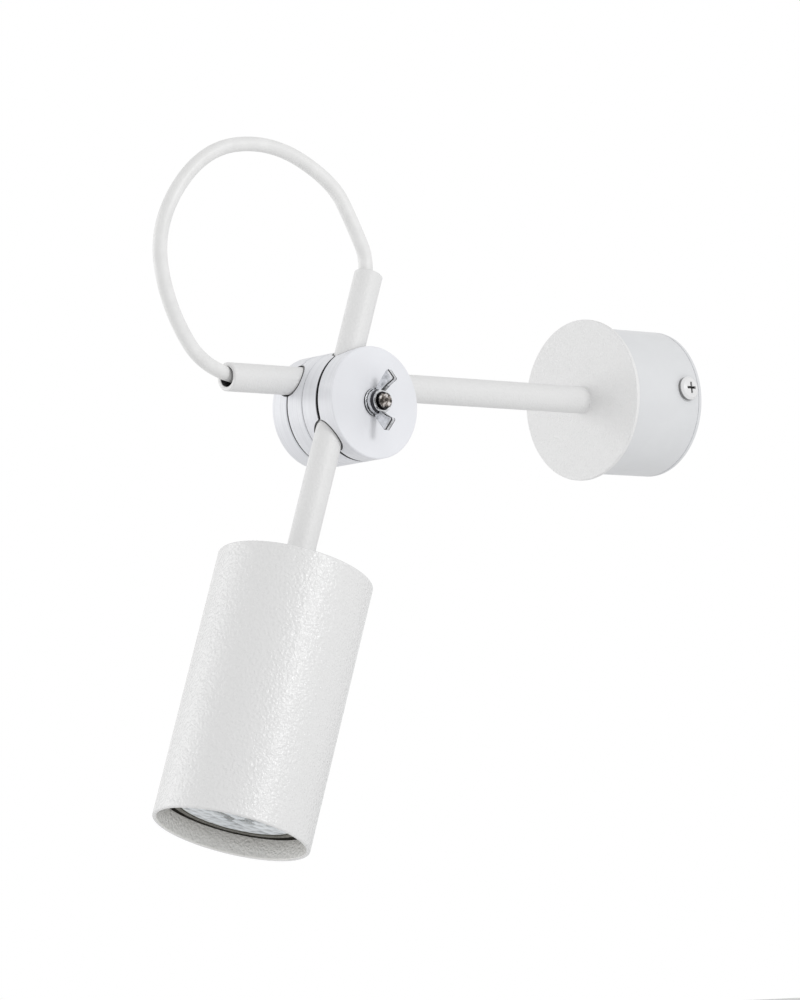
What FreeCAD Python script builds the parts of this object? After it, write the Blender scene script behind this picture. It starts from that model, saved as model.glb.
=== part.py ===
import FreeCAD, Part

import math
import os
import re

import Sketcher

from FreeCAD import Placement, Rotation, Vector

# A wall light whose spotlight pivots on a round clamp at the end of a short arm.
# Millimetres. The origin is the centre of the wall plate's back face, on the wall: +Y goes
# into the wall, +Z is up, and the arm runs out along -Y. The wing nut is on the +X side.

doc = FreeCAD.newDocument("pivoting_wall_light")
sheet = doc.addObject("Spreadsheet::Sheet", "Sizes")

SIZES = [
    # the two tubes and the cable that runs through them
    ("tube_diameter", 11.0, "outside of the arm and of the stem"),
    ("tube_bore", 7.5, "bore of the arm and of the stem"),
    ("tube_edge", 0.4, "chamfer at a tube's open end"),
    ("spigot_diameter", 10.0, "threaded end of a tube, M10x1"),
    ("spigot_length", 9.0, "length of the threaded end"),
    ("cable_diameter", 5.5, "three-core round cable"),
    ("cable_inset", 18.0, "how deep the loose loop reaches into a tube's mouth"),
    ("core_diameter", 1.8, "one insulated core of the cable"),
    ("fit_clearance", 0.05, "radial room of a running fit"),
    ("hole_clearance", 0.1, "radial room of a hole round a fixed piece"),
    # canopy on the wall
    ("canopy_diameter", 59.0, "outside of the cup"),
    ("canopy_depth", 37.5, "from the wall to the cup's front face"),
    ("canopy_wall", 1.5, "sheet of the cup"),
    ("bead_height", 1.3, "rolled edge of the cup at the wall"),
    ("bead_groove", 0.25, "fine groove that sets off the rolled edge"),
    ("plate_diameter", 65.0, "front plate"),
    ("plate_thickness", 1.6, "front plate"),
    ("plate_edge", 0.3, "rounding of the front plate's rim"),
    ("arm_reach", 223.0, "from the wall to the arm's open end"),
    # wall plate inside the canopy
    ("strap_thickness", 2.0, "wall plate"),
    ("strap_width", 26.0, "wall plate, across"),
    ("strap_gap", 0.3, "between the wall plate and the cup"),
    ("tab_width", 12.0, "bent end that takes a cup screw"),
    ("tab_length", 13.0, "how far the bent end stands off the wall"),
    ("wall_hole_pitch", 38.0, "between the two wall screw holes"),
    ("wall_hole", 4.5, "wall screw hole"),
    ("supply_hole", 10.0, "hole for the house cable"),
    ("supply_offset", 7.5, "house cable hole above the centre"),
    ("cup_screw_turn", 4.6, "degrees that the cup screws lie above level"),
    ("cup_screw_height", 8.0, "cup screws off the wall"),
    ("cup_screw", 4.0, "M4"),
    ("cup_screw_length", 8.0, "under the head"),
    ("cup_screw_head", 9.4, "head diameter"),
    ("cup_screw_head_height", 2.8, "head height"),
    # electrics inside the canopy
    ("block_length", 26.0, "terminal block"),
    ("block_width", 13.0, "terminal block"),
    ("block_height", 14.0, "terminal block"),
    ("block_top", 0.5, "edge of the block above the centre line"),
    ("pole_pitch", 8.0, "between poles"),
    ("wire_height", 8.0, "wire holes above the wall plate"),
    ("small_screw", 3.0, "M3"),
    ("small_head", 5.4, "head diameter of an M3 screw"),
    ("small_head_height", 2.0, "head height of an M3 screw"),
    ("grip_diameter", 11.0, "cable grip at a tube's inner end"),
    ("grip_length", 5.5, "cable grip"),
    ("core_run", 2.5, "cable past its grip"),
    # lock nuts
    ("lock_nut_flats", 14.0, "M10x1 nut across flats"),
    ("lock_nut_height", 3.0, "M10x1 nut"),
    ("lock_washer", 18.0, "toothed washer, outside"),
    ("lock_washer_thickness", 0.8, "toothed washer"),
    # clamp of four discs on one bolt
    ("disc_diameter", 43.1, "clamp disc"),
    ("disc_pitch", 8.8, "from one joint of the stack to the next"),
    ("disc_edge", 0.35, "chamfer of a disc"),
    ("arm_gap", 0.4, "slit between the two discs that grip the arm"),
    ("stem_gap", 1.0, "slit between the two discs that grip the stem"),
    ("face_gap", 0.1, "between the two halves where they turn"),
    ("groove_diameter", 12.0, "groove for a tube"),
    ("bolt_from_wall", 172.5, "bolt axis from the wall"),
    ("arm_offset", 10.65, "bolt axis below the arm's axis"),
    ("stem_offset", 10.8, "bolt axis to the stem's axis"),
    ("bolt_diameter", 6.0, "M6"),
    ("bolt_head_flats", 10.0, "M6 hexagon head"),
    ("bolt_head_height", 4.0, "M6 hexagon head"),
    ("head_pocket", 2.0, "how deep the head sits in the rear disc"),
    ("bolt_end", 6.9, "bolt end past the front disc"),
    ("bolt_point", 0.5, "chamfer of the bolt's end"),
    ("washer_diameter", 11.0, "washer under the wing nut"),
    ("washer_thickness", 1.0, "washer under the wing nut"),
    ("hub_diameter", 9.8, "wing nut's foot"),
    ("hub_top_diameter", 8.8, "top of the wing nut's hub"),
    ("hub_height", 3.6, "wing nut's hub"),
    ("wing_thickness", 2.4, "wing"),
    ("wing_reach", 9.5, "middle of a wing's tip from the axis"),
    ("wing_rise", 8.6, "middle of a wing's tip above the nut's foot"),
    ("wing_turn", 6.5, "degrees that the wings lie off plumb"),
    # stem, shade and lamp: distances run down the stem from beside the bolt
    ("stem_tilt", 20.5, "degrees that the stem's foot swings out from plumb"),
    ("stem_above", 50.3, "stem above the bolt"),
    ("stem_below", 72.4, "stem below the bolt, to the shade"),
    ("shade_diameter", 59.5, "outside of the shade"),
    ("shade_length", 104.4, "shade"),
    ("shade_wall", 1.6, "side of the shade"),
    ("shade_top", 2.0, "top of the shade"),
    ("shade_round", 0.7, "rounding of the shade's edges"),
    ("hanger_thickness", 1.2, "steel strap that carries the lamp holder"),
    ("hanger_width", 14.0, "steel strap"),
    ("foot_length", 8.6, "turned-in foot of the strap"),
    ("holder_drop", 34.6, "from the shade's top to the holder's back"),
    ("holder_diameter", 30.0, "ceramic lamp holder"),
    ("holder_height", 14.8, "ceramic lamp holder"),
    ("holder_screw_pitch", 22.0, "between the holder's screws"),
    ("holder_screw_length", 8.0, "under the head"),
    ("lamp_gap", 0.2, "between holder and lamp"),
    ("pin_pitch", 10.0, "lamp pins"),
    ("pin_head", 5.0, "lamp pin's head"),
    ("pin_shank", 3.0, "lamp pin's shank"),
    ("pin_length", 7.0, "lamp pin"),
    ("pin_room", 0.4, "room round a pin in its slot"),
    ("twist", 25.0, "degrees that the lamp turns to come free"),
    ("lamp_diameter", 50.0, "reflector lamp"),
    ("lamp_length", 47.2, "reflector lamp without its pins"),
    ("lamp_base", 25.4, "cylindrical foot of the lamp"),
    ("lamp_rim", 2.6, "straight rim of the lamp"),
    ("lens_diameter", 45.0, "lamp's front lens"),
    ("lens_thickness", 1.8, "lamp's front lens"),
]
NAMES = {alias for alias, number, note in SIZES}
for row, (alias, number, note) in enumerate(SIZES, 1):
    sheet.set("A%d" % row, alias)
    sheet.set("B%d" % row, str(number))
    sheet.set("C%d" % row, note)
    sheet.setAlias("B%d" % row, alias)
doc.recompute()


def size(formula):
    """The value of a formula written with the sheet's aliases."""
    return float(worked_out(formula))


def worked_out(formula):
    cell = doc.getObject("Scratch") or doc.addObject("App::FeaturePython", "Scratch")
    if "Value" not in cell.PropertiesList:
        cell.addProperty("App::PropertyFloat", "Value")
    cell.setExpression("Value", sheet_words(formula))
    cell.recompute()
    return cell.Value


def sheet_words(formula):
    """The formula with each alias written as a cell of the sheet."""
    return re.sub(r"[a-z_]+", lambda m: "Sizes." + m[0] if m[0] in NAMES else m[0], str(formula))


def bind(thing, **formulas):
    """Ties each property to its formula; Base_x stands for Placement.Base.x."""
    for name, formula in formulas.items():
        path = "Placement.Base." + name[-1] if name.startswith("Base_") else name
        thing.setExpression(path, sheet_words(formula))
    return thing


# ---------------------------------------------------------------- building blocks


def rod(name, diameter, height, x=0, y=0, z=0, along=None):
    """A round bar from (x, y, z), along +Z or along the direction given."""
    bar = doc.addObject("Part::Cylinder", name)
    if along is not None:
        bar.Placement.Rotation = Rotation(Vector(0, 0, 1), along)
    bind(bar, Radius="(%s) / 2" % diameter, Height=height, Base_x=x, Base_y=y, Base_z=z)
    return bar


def block(name, length, width, height, x=0, y=0, z=0):
    """A box centred on x and y, standing on z."""
    box = doc.addObject("Part::Box", name)
    bind(box, Length=length, Width=width, Height=height, Base_z=z)
    bind(box, Base_x="(%s) - (%s) / 2" % (x, length), Base_y="(%s) - (%s) / 2" % (y, width))
    return box


def hexagon(name, flats, height, z=0):
    """A hexagonal bar on the axis, measured across its flats."""
    bar = doc.addObject("Part::Prism", name)
    bar.Polygon = 6
    bind(bar, Circumradius="(%s) / sqrt(3)" % flats, Height=height, Base_z=z)
    return bar


def fuse(name, *shapes):
    whole = doc.addObject("Part::MultiFuse", name)
    whole.Shapes = list(shapes)
    return whole


def cut(name, base, *tools):
    piece = doc.addObject("Part::Cut", name)
    piece.Base = base
    piece.Tool = tools[0] if len(tools) == 1 else fuse(name + "_cutters", *tools)
    return piece


def group(name, *pieces):
    """One node for separate solids, or for a single one that keeps its own place."""
    several = doc.addObject("Part::Compound", name)
    several.Links = list(pieces)
    return several


def ring(name, outside, inside, height, x=0, y=0, z=0):
    through = rod(name + "_bore", inside, "(%s) + 2" % height, x, y, "(%s) - 1" % z)
    return cut(name, rod(name + "_blank", outside, height, x, y, z), through)


def outline(body, plane, corners):
    """A closed sketch on one of the body's planes, each corner tied to the sheet's sizes."""
    sketch = body.newObject("Sketcher::SketchObject", body.Name + "_outline")
    plane = [p for p in body.Origin.OriginFeatures if p.Role == plane][0]
    sketch.AttachmentSupport = [(plane, "")]
    sketch.MapMode = "FlatFace"
    places = [(size(across), size(up)) for across, up in corners]
    count = len(corners)
    for i, (across, up) in enumerate(places):
        following = places[(i + 1) % count]
        sketch.addGeometry(Part.LineSegment(Vector(across, up, 0), Vector(*following, 0)), False)
    for i in range(count):
        sketch.addConstraint(Sketcher.Constraint("Coincident", i, 2, (i + 1) % count, 1))
    for i, corner in enumerate(corners):
        for kind, formula, axis in zip(("DistanceX", "DistanceY"), corner, (-2, -1)):
            if str(formula) == "0":
                sketch.addConstraint(Sketcher.Constraint("PointOnObject", i, 1, axis))
                continue
            value = places[i][axis + 2]
            number = sketch.addConstraint(Sketcher.Constraint(kind, -1, 1, i, 1, value))
            label = "%s_%d" % (kind[-1].lower(), i)
            sketch.renameConstraint(number, label)
            sketch.setExpression("Constraints." + label, sheet_words(formula))
    return sketch


def turned(name, corners):
    """A piece turned on a lathe: its corners are (radius, height along the axis)."""
    body = doc.addObject("PartDesign::Body", name)
    sketch = outline(body, "XZ_Plane", corners)
    turn = body.newObject("PartDesign::Revolution", name + "_turn")
    turn.Profile = sketch
    turn.ReferenceAxis = (sketch, ["V_Axis"])
    turn.Angle = 360
    doc.recompute()
    return body


def rounded(body, radius, chosen):
    """Rounds the body's edges that the test picks."""
    last = body.Tip
    names = ["Edge%d" % (i + 1) for i, edge in enumerate(last.Shape.Edges) if chosen(edge)]
    fillet = body.newObject("PartDesign::Fillet", body.Name + "_round")
    fillet.Base = (last, names)
    bind(fillet, Radius=radius)
    doc.recompute()
    return body


def is_circle(edge, diameter, height):
    """Tells whether an edge is that circle about the axis, at that height."""
    return (
        isinstance(edge.Curve, Part.Circle)
        and abs(edge.Curve.Radius - size(diameter) / 2) < 1e-4
        and abs(edge.Curve.Center.z - size(height)) < 1e-4
    )


def path_wire(points, share=0.45):
    """Straight runs joined by tangent arcs, and the radii of those arcs."""
    points = [Vector(*p) for p in points]
    edges, radii, at = [], [], points[0]
    for before, here, after in zip(points, points[1:], points[2:]):
        come, go = (here - before), (after - here)
        reach = share * min(come.Length, go.Length)
        turn = come.getAngle(go)
        radius = reach / math.tan(turn / 2)
        start = here - Vector(come).normalize() * reach
        end = here + Vector(go).normalize() * reach
        inward = (Vector(go).normalize() - Vector(come).normalize()).normalize()
        middle = here + inward * (radius / math.cos(turn / 2) - radius)
        edges += [Part.LineSegment(at, start).toShape(), Part.Arc(start, middle, end).toShape()]
        radii.append(radius)
        at = end
    edges.append(Part.LineSegment(at, points[-1]).toShape())
    return Part.Wire(edges), radii


def drawn_tube(points, diameter):
    """A round bar that follows a path."""
    wire, radii = path_wire(points)
    start = Vector(*points[0])
    circle = Part.Circle(start, Vector(*points[1]) - start, diameter / 2)
    solid = wire.makePipeShell([Part.Wire(circle.toShape())], True, False)
    expected = math.pi * diameter**2 / 4 * wire.Length
    assert abs(solid.Volume / expected - 1) < 0.01, "a tube's volume is off"
    return solid, wire.Length, radii


def stored(name, *solids):
    """A node whose solids are made with Part's own functions."""
    piece = doc.addObject("Part::Feature", name)
    piece.Shape = solids[0] if len(solids) == 1 else Part.makeCompound(list(solids))
    return piece


def screw(name, diameter, length, head, head_height, recess="cross"):
    """A screw that points down: its head stands on z = 0, with a domed top."""
    dome = "(%s) * 0.55" % head_height
    body = turned(
        name + "_blank",
        [
            (0, "-(%s)" % length),
            ("(%s) / 2 - 0.4" % diameter, "-(%s)" % length),
            ("(%s) / 2" % diameter, "0.5 - (%s)" % length),
            ("(%s) / 2" % diameter, 0),
            ("(%s) / 2" % head, 0),
            ("(%s) / 2" % head, dome),
            ("(%s) * 0.42" % head, "(%s) * 0.82" % head_height),
            ("(%s) * 0.26" % head, head_height),
            (0, head_height),
        ],
    )
    deep = "(%s) * 0.5" % head_height
    long, wide = "(%s) * 0.5" % head, "(%s) * 0.11" % head
    slots = [block(name + "_slot_a", long, wide, "(%s) * 2" % deep, z=deep)]
    if recess == "cross":
        slots.append(block(name + "_slot_b", wide, long, "(%s) * 2" % deep, z=deep))
    return cut(name, body, *slots)


def grub_screw(name, diameter, length):
    """A headless screw standing on z = 0, slotted at the top."""
    slot = block(name + "_slot", diameter + " + 1", "0.6", "2", z="(%s) - 0.9" % length)
    return cut(name, rod(name + "_blank", diameter, length), slot)


# ---------------------------------------------------------------- frames

TILT = math.radians(size("stem_tilt"))
BOLT = Vector(0, -size("bolt_from_wall"), -size("arm_offset"))
STEM_PLANE = size("2 * disc_pitch")
STEM_DOWN = Vector(0, -math.sin(TILT), -math.cos(TILT))
STEM_SIDE = Vector(0, -math.cos(TILT), math.sin(TILT))
STEM_ORIGIN = BOLT + Vector(STEM_PLANE, 0, 0) + STEM_SIDE * size("stem_offset")

# off the wall: local +Z runs out along the arm, local +Y is up
OFF_WALL = Placement(Vector(), Rotation(Vector(1, 0, 0), 90))
# the wall plate and its electrics are turned a little about the arm's axis
PLATE_TURN = Placement(Vector(), Rotation(Vector(0, 0, 1), size("cup_screw_turn")))
ON_PLATE = OFF_WALL.multiply(PLATE_TURN)
ALONG_BOLT = Rotation(Vector(0, 1, 0), 90)


def on_bolt(x, swing=0):
    """Local +Z along the bolt from x; swing turns the piece about the bolt."""
    swung = Rotation(Vector(1, 0, 0), swing).multiply(ALONG_BOLT)
    return Placement(BOLT + Vector(x, 0, 0), swung)


def on_stem(distance):
    """Local +Z down the stem, from that distance below the bolt."""
    down = Rotation(Vector(1, 0, 0), 180 - size("stem_tilt"))
    return Placement(STEM_ORIGIN + STEM_DOWN * distance, down)


NODES = []


def node(piece, place):
    """Names a finished piece as a node and puts it in its place."""
    piece.Placement = place
    piece.Label = piece.Name
    NODES.append(piece)
    return piece


# ---------------------------------------------------------------- wall plate and electrics

CUP_INSIDE = "(canopy_diameter - 2 * canopy_wall)"
SPIGOT_START = "(canopy_depth + plate_thickness - spigot_length)"


def wall_plate():
    flat = doc.addObject("Part::Common", "strap_flat")
    flat.Base = block("strap_blank", CUP_INSIDE, "strap_width", "strap_thickness")
    flat.Tool = rod("strap_round", CUP_INSIDE + " - 2 * strap_gap", "strap_thickness")
    reach = "(sqrt((%s / 2)^2 - (tab_width / 2)^2) - strap_gap)" % CUP_INSIDE
    tabs, cutters = [], []
    for side, sign in (("right", 1), ("left", -1)):
        middle = "%d * (%s - strap_thickness / 2)" % (sign, reach)
        tabs.append(block("tab_" + side, "strap_thickness", "tab_width", "tab_length", x=middle))
        across = Vector(1, 0, 0)
        start = "%d * %s - 5" % (sign, reach)
        hole = "cup_screw + 2 * fit_clearance"
        cutters.append(rod("tab_hole_" + side, hole, 10, start, 0, "cup_screw_height", across))
        x = "%d * wall_hole_pitch / 2" % sign
        cutters.append(rod("wall_hole_" + side, "wall_hole", "3 * strap_thickness", x, 0, -1))
    deep = "3 * strap_thickness"
    cutters.append(rod("supply_opening", "supply_hole", deep, 0, "supply_offset", -1))
    tapped = "small_screw + 2 * fit_clearance"
    cutters.append(rod("block_hole", tapped, deep, "pole_pitch / 2", BLOCK_MIDDLE, -1))
    tapped = "cup_screw + 2 * fit_clearance"
    cutters.append(rod("earth_hole", tapped, deep, *EARTH_PLACE, -1))
    node(cut("wall_plate", fuse("strap_folded", flat, *tabs), *cutters), ON_PLATE)


BLOCK_MIDDLE = "(block_top - block_width / 2)"
EARTH_PLACE = ("11", "supply_offset")
POLES = (-1, 0, 1)
WELL = "(small_screw + 0.6)"


def terminal_block():
    body = block("block_blank", "block_length", "block_width", "block_height", 0, BLOCK_MIDDLE)
    cutters, screws = [], []
    deep = "(block_height - wire_height)"
    for pole in POLES:
        x = "%d * pole_pitch" % pole
        name = "pole%d_" % pole
        start = "block_top - block_width - 1"
        bore = rod(name + "wire", "core_diameter + 0.6", "block_width + 2", x, start, "wire_height",
                   Vector(0, 1, 0))
        cutters.append(bore)
        for end, sign in (("a", 1), ("b", -1)):
            y = "%s + %d * block_width * 0.27" % (BLOCK_MIDDLE, sign)
            cutters.append(rod(name + "well_" + end, WELL, deep, x, y, "wire_height"))
            tip = "wire_height + core_diameter / 2 + 0.2"
            one = grub_screw("pole_screw_%d%s" % (pole + 2, end), "small_screw", "3.6")
            bind(one, Base_x=x, Base_y=y, Base_z=tip)
            screws.append(one)
    fixing = "small_screw + 2 * hole_clearance"
    cutters.append(rod("fixing_hole", fixing, "block_height + 2", "pole_pitch / 2", BLOCK_MIDDLE, -1))
    on_strap = ON_PLATE.multiply(Placement(Vector(0, 0, size("strap_thickness")), Rotation()))
    node(cut("terminal_block", body, *cutters), on_strap)
    node(group("terminal_screws", *screws), on_strap)
    fixing_screw = screw("block_screw", "small_screw", "block_height + strap_thickness - 0.4",
                         "small_head", "small_head_height")
    top = Vector(size("pole_pitch / 2"), size(BLOCK_MIDDLE), size("strap_thickness + block_height"))
    node(fixing_screw, ON_PLATE.multiply(Placement(top, Rotation())))
    earth = screw("earth_screw", "cup_screw", "strap_thickness - 0.3", "cup_screw * 1.8", "2.4")
    place = Vector(size(EARTH_PLACE[0]), size(EARTH_PLACE[1]), size("strap_thickness"))
    node(earth, ON_PLATE.multiply(Placement(place, Rotation())))


# where the three cores leave the cable's end, round its axis
CORE_STARTS = ((-1.25, -0.75), (0.0, 1.4), (1.25, -0.75))
LAMP_CORE_STARTS = ((-1.25, 0.75), (1.25, 0.75), (0.0, -1.4))


def arm_leads():
    """Three cores from the end of the arm's cable into the terminal block."""
    thick, leads = size("core_diameter"), []
    end = size(SPIGOT_START + " - grip_length - core_run") - 0.1
    height = size("strap_thickness + wire_height")
    for pole, (x, y) in zip(POLES, CORE_STARTS):
        to = size("%d * pole_pitch" % pole)
        points = [(x, y, end), (x, y, end - thick), (to, 7.5, height + 2 * thick),
                  (to, 6, height), (to, size("block_top") - 2.5, height)]
        leads.append(drawn_tube(points, thick)[0])
    node(stored("arm_leads", *leads), ON_PLATE)


# ---------------------------------------------------------------- canopy and arm


def canopy():
    half = "canopy_diameter / 2"
    bead = "(canopy_diameter / 2 - bead_groove)"
    hole = "spigot_diameter / 2 + hole_clearance"
    cup = turned("cup_shell", [
        (CUP_INSIDE + " / 2", 0), (half, 0), (half, "bead_height"), (bead, "bead_height"),
        (bead, "bead_height + 2 * bead_groove"), (half, "bead_height + 2 * bead_groove"),
        (half, "canopy_depth"), (hole, "canopy_depth"), (hole, "canopy_depth - canopy_wall"),
        (CUP_INSIDE + " / 2", "canopy_depth - canopy_wall"),
    ])
    through = rod("cup_screw_holes", "cup_screw + 4 * hole_clearance", "canopy_diameter + 4",
                  "-canopy_diameter / 2 - 2", 0, "cup_screw_height", Vector(1, 0, 0))
    node(cut("canopy_cup", cup, through), ON_PLATE)
    plate = turned("front_plate", [
        (hole, 0), ("plate_diameter / 2", 0), ("plate_diameter / 2", "plate_thickness"),
        (hole, "plate_thickness"),
    ])
    rounded(plate, "plate_edge", lambda e: is_circle(e, "plate_diameter", "plate_thickness")
            or is_circle(e, "plate_diameter", "0"))
    node(plate, OFF_WALL.multiply(Placement(Vector(0, 0, size("canopy_depth")), Rotation())))
    screws = []
    for side, sign in (("right", 1), ("left", -1)):
        one = screw("cup_screw_" + side, "cup_screw", "cup_screw_length", "cup_screw_head",
                    "cup_screw_head_height")
        one.Placement.Rotation = Rotation(Vector(0, 0, 1), Vector(sign, 0, 0))
        bind(one, Base_x="%d * canopy_diameter / 2" % sign, Base_z="cup_screw_height")
        screws.append(one)
    node(group("cup_screws", *screws), ON_PLATE)


def hollow_tube(name, below, length):
    """A tube with a threaded spigot below its shoulder and an open end above."""
    bore, outside = "tube_bore / 2", "tube_diameter / 2"
    return turned(name, [
        (bore, 0), ("spigot_diameter / 2", 0), ("spigot_diameter / 2", below), (outside, below),
        (outside, "%s + %s - tube_edge" % (below, length)),
        (outside + " - tube_edge", "%s + %s" % (below, length)),
        (bore + " + tube_edge", "%s + %s" % (below, length)),
        (bore, "%s + %s - tube_edge" % (below, length)),
    ])


def lock_set(prefix, frame):
    """Toothed washer and lock nut, the washer standing on the frame's origin."""
    teeth = ring(prefix + "_lock_washer", "lock_washer", "spigot_diameter + 2 * hole_clearance",
                 "lock_washer_thickness")
    node(teeth, frame)
    blank = hexagon(prefix + "_nut_blank", "lock_nut_flats", "lock_nut_height",
                    "lock_washer_thickness")
    bore = rod(prefix + "_nut_bore", "spigot_diameter + 2 * fit_clearance", 20, z=-1)
    node(cut(prefix + "_lock_nut", blank, bore), frame)


def arm():
    tube = hollow_tube("arm_tube", "spigot_length", "(arm_reach - canopy_depth - plate_thickness)")
    start = size(SPIGOT_START)
    node(tube, OFF_WALL.multiply(Placement(Vector(0, 0, start), Rotation())))
    under = Placement(Vector(0, 0, size("canopy_depth - canopy_wall")), Rotation(Vector(1, 0, 0), 180))
    lock_set("arm", OFF_WALL.multiply(under))
    inner_end = "(%s - grip_length - core_run)" % SPIGOT_START
    cable = rod("arm_cable_core", "cable_diameter", "arm_reach - cable_inset - 0.1 - " + inner_end)
    node(group("arm_cable", cable), OFF_WALL.multiply(Placement(Vector(0, 0, size(inner_end)), Rotation())))
    grip = ring("arm_cable_grip", "grip_diameter", "cable_diameter + 2 * fit_clearance",
                "grip_length - 0.1")
    node(grip, OFF_WALL.multiply(Placement(Vector(0, 0, start - size("grip_length")), Rotation())))


# ---------------------------------------------------------------- clamp


def clamp_disc(name, start, end, groove, offset, hole):
    """A disc from start to end along the bolt, with a groove centred at that height."""
    thick = "(%s) - (%s)" % (end, start)
    rim, edge = "disc_diameter / 2", "disc_edge"
    blank = turned(name + "_blank", [
        (hole, 0), (rim + " - disc_edge", 0), (rim, edge), (rim, thick + " - disc_edge"),
        (rim + " - disc_edge", thick), (hole, thick),
    ])
    channel = rod(name + "_groove", "groove_diameter", "2 * disc_diameter", "-(%s)" % offset,
                  "-disc_diameter", "(%s) - (%s)" % (groove, start), Vector(0, 1, 0))
    cutters = [channel]
    if name == "arm_clamp_rear":
        cutters.append(hexagon("head_seat", "bolt_head_flats + 0.3", "head_pocket + 1", -1))
    return cut(name, blank, *cutters)


GROOVE_SHIFT = "(groove_diameter / 2 - tube_diameter / 2 - fit_clearance)"
FRONT = "(3 * disc_pitch)"


def clamp():
    tight = "bolt_diameter / 2 + hole_clearance"
    free = "bolt_diameter / 2 + fit_clearance"
    rows = [
        ("arm_clamp_rear", "-disc_pitch", "-arm_gap / 2", GROOVE_SHIFT, "arm_offset", tight, 0),
        ("arm_clamp_front", "arm_gap / 2", "disc_pitch - face_gap / 2", "-" + GROOVE_SHIFT,
         "arm_offset", tight, 0),
        ("head_clamp_rear", "disc_pitch + face_gap / 2", "2 * disc_pitch - stem_gap / 2",
         "2 * disc_pitch + " + GROOVE_SHIFT, "stem_offset", free, 1),
        ("head_clamp_front", "2 * disc_pitch + stem_gap / 2", FRONT,
         "2 * disc_pitch - " + GROOVE_SHIFT, "stem_offset", free, 1),
    ]
    for name, start, end, groove, offset, hole, on_head in rows:
        swing = on_head * (90 - size("stem_tilt"))
        node(clamp_disc(name, start, end, groove, offset, hole), on_bolt(size(start), swing))


def pivot_bolt():
    seat = "(head_pocket - disc_pitch)"
    length = "(%s + bolt_end - %s)" % (FRONT, seat)
    shank = turned("bolt_shank", [
        (0, 0), ("bolt_diameter / 2", 0), ("bolt_diameter / 2", length + " - bolt_point"),
        ("bolt_diameter / 2 - bolt_point", length), (0, length),
    ])
    head = hexagon("bolt_head", "bolt_head_flats", "bolt_head_height", "-bolt_head_height")
    node(fuse("pivot_bolt", shank, head), on_bolt(size(seat)))


def wing_nut():
    washer = ring("nut_washer", "washer_diameter", "bolt_diameter + 2 * fit_clearance",
                  "washer_thickness")
    node(washer, on_bolt(size(FRONT)))
    bore = "bolt_diameter / 2 + fit_clearance"
    hub = turned("wing_hub", [
        (bore, 0), ("hub_diameter / 2", 0), ("hub_diameter / 2", "0.8"),
        ("hub_top_diameter / 2", "hub_height"), (bore, "hub_height"),
    ])
    wings = []
    for side, sign in (("upper", -1), ("lower", 1)):
        wing = doc.addObject("PartDesign::Body", "wing_" + side)
        corners = [
            ("bolt_diameter / 2 + 0.5", "0.3"), ("hub_diameter / 2 + 0.9", "0.3"),
            ("wing_reach - 1.7", "wing_rise - 6.4"), ("wing_reach + 2.0", "wing_rise - 2.8"),
            ("wing_reach + 2.2", "wing_rise - 1.7"), ("wing_reach - 1.3", "wing_rise + 1.6"),
            ("wing_reach - 2.2", "wing_rise + 1.4"), ("wing_reach - 4.4", "wing_rise - 3.4"),
            ("bolt_diameter / 2 + 1", "hub_height"), ("bolt_diameter / 2 + 0.5", "hub_height"),
        ]
        sketch = outline(wing, "XZ_Plane", corners)
        pad = wing.newObject("PartDesign::Pad", "wing_pad_" + side)
        pad.Profile = sketch
        pad.Midplane = True
        bind(pad, Length="wing_thickness")
        doc.recompute()
        rounded(wing, "wing_thickness * 0.28", lambda e: outer_wing_edge(e))
        if sign < 0:
            wing.Placement = Placement(Vector(), Rotation(Vector(0, 0, 1), 180))
        wings.append(wing)
    start = size(FRONT + " + washer_thickness")
    node(fuse("wing_nut", hub, *wings), on_bolt(start, -size("wing_turn")))


def outer_wing_edge(edge):
    """The long edges of a wing's two faces, away from the hub."""
    flat = all(abs(abs(v.Point.y) - size("wing_thickness") / 2) < 1e-6 for v in edge.Vertexes)
    same = abs(edge.Vertexes[0].Point.y - edge.Vertexes[-1].Point.y) < 1e-6
    return flat and same and max(v.Point.x for v in edge.Vertexes) > size("hub_diameter / 2 + 0.6")


# ---------------------------------------------------------------- stem, shade and lamp


def stem():
    tube = hollow_tube("stem_tube", "spigot_length", "(stem_above + stem_below)")
    foot = size("stem_below + spigot_length")
    upward = Placement(Vector(), Rotation(Vector(1, 0, 0), 180))
    node(tube, on_stem(foot).multiply(upward))
    lock_set("stem", on_stem(size("stem_below + shade_top + hanger_thickness")))
    start = "(cable_inset - stem_above - 1.6)"
    end = "(stem_below + spigot_length + grip_length + core_run)"
    cable = rod("stem_cable_core", "cable_diameter", end + " - " + start)
    node(group("stem_cable", cable), on_stem(size(start)))
    grip = ring("stem_cable_grip", "grip_diameter", "cable_diameter + 2 * fit_clearance",
                "grip_length - 0.1")
    node(grip, on_stem(foot + 0.1))


def shade():
    outside = "shade_diameter / 2"
    inside = "(shade_diameter / 2 - shade_wall)"
    hole = "spigot_diameter / 2 + hole_clearance"
    shell = turned("shade", [
        (hole, 0), (outside, 0), (outside, "shade_length"), (inside, "shade_length"),
        (inside, "shade_top"), (hole, "shade_top"),
    ])
    rounded(shell, "shade_round", lambda e: is_circle(e, "shade_diameter", "0")
            or is_circle(e, "shade_diameter", "shade_length")
            or is_circle(e, "shade_diameter - 2 * shade_wall", "shade_length"))
    node(shell, on_stem(size("stem_below")))


HOLDER_TOP = "(stem_below + holder_drop)"
LAMP_START = "(stem_below + holder_drop + holder_height + lamp_gap)"
HANGER_HEIGHT = "(holder_drop - shade_top)"
LEG_OUTSIDE = "(holder_diameter + 2 * hanger_thickness + 0.4)"


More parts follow.
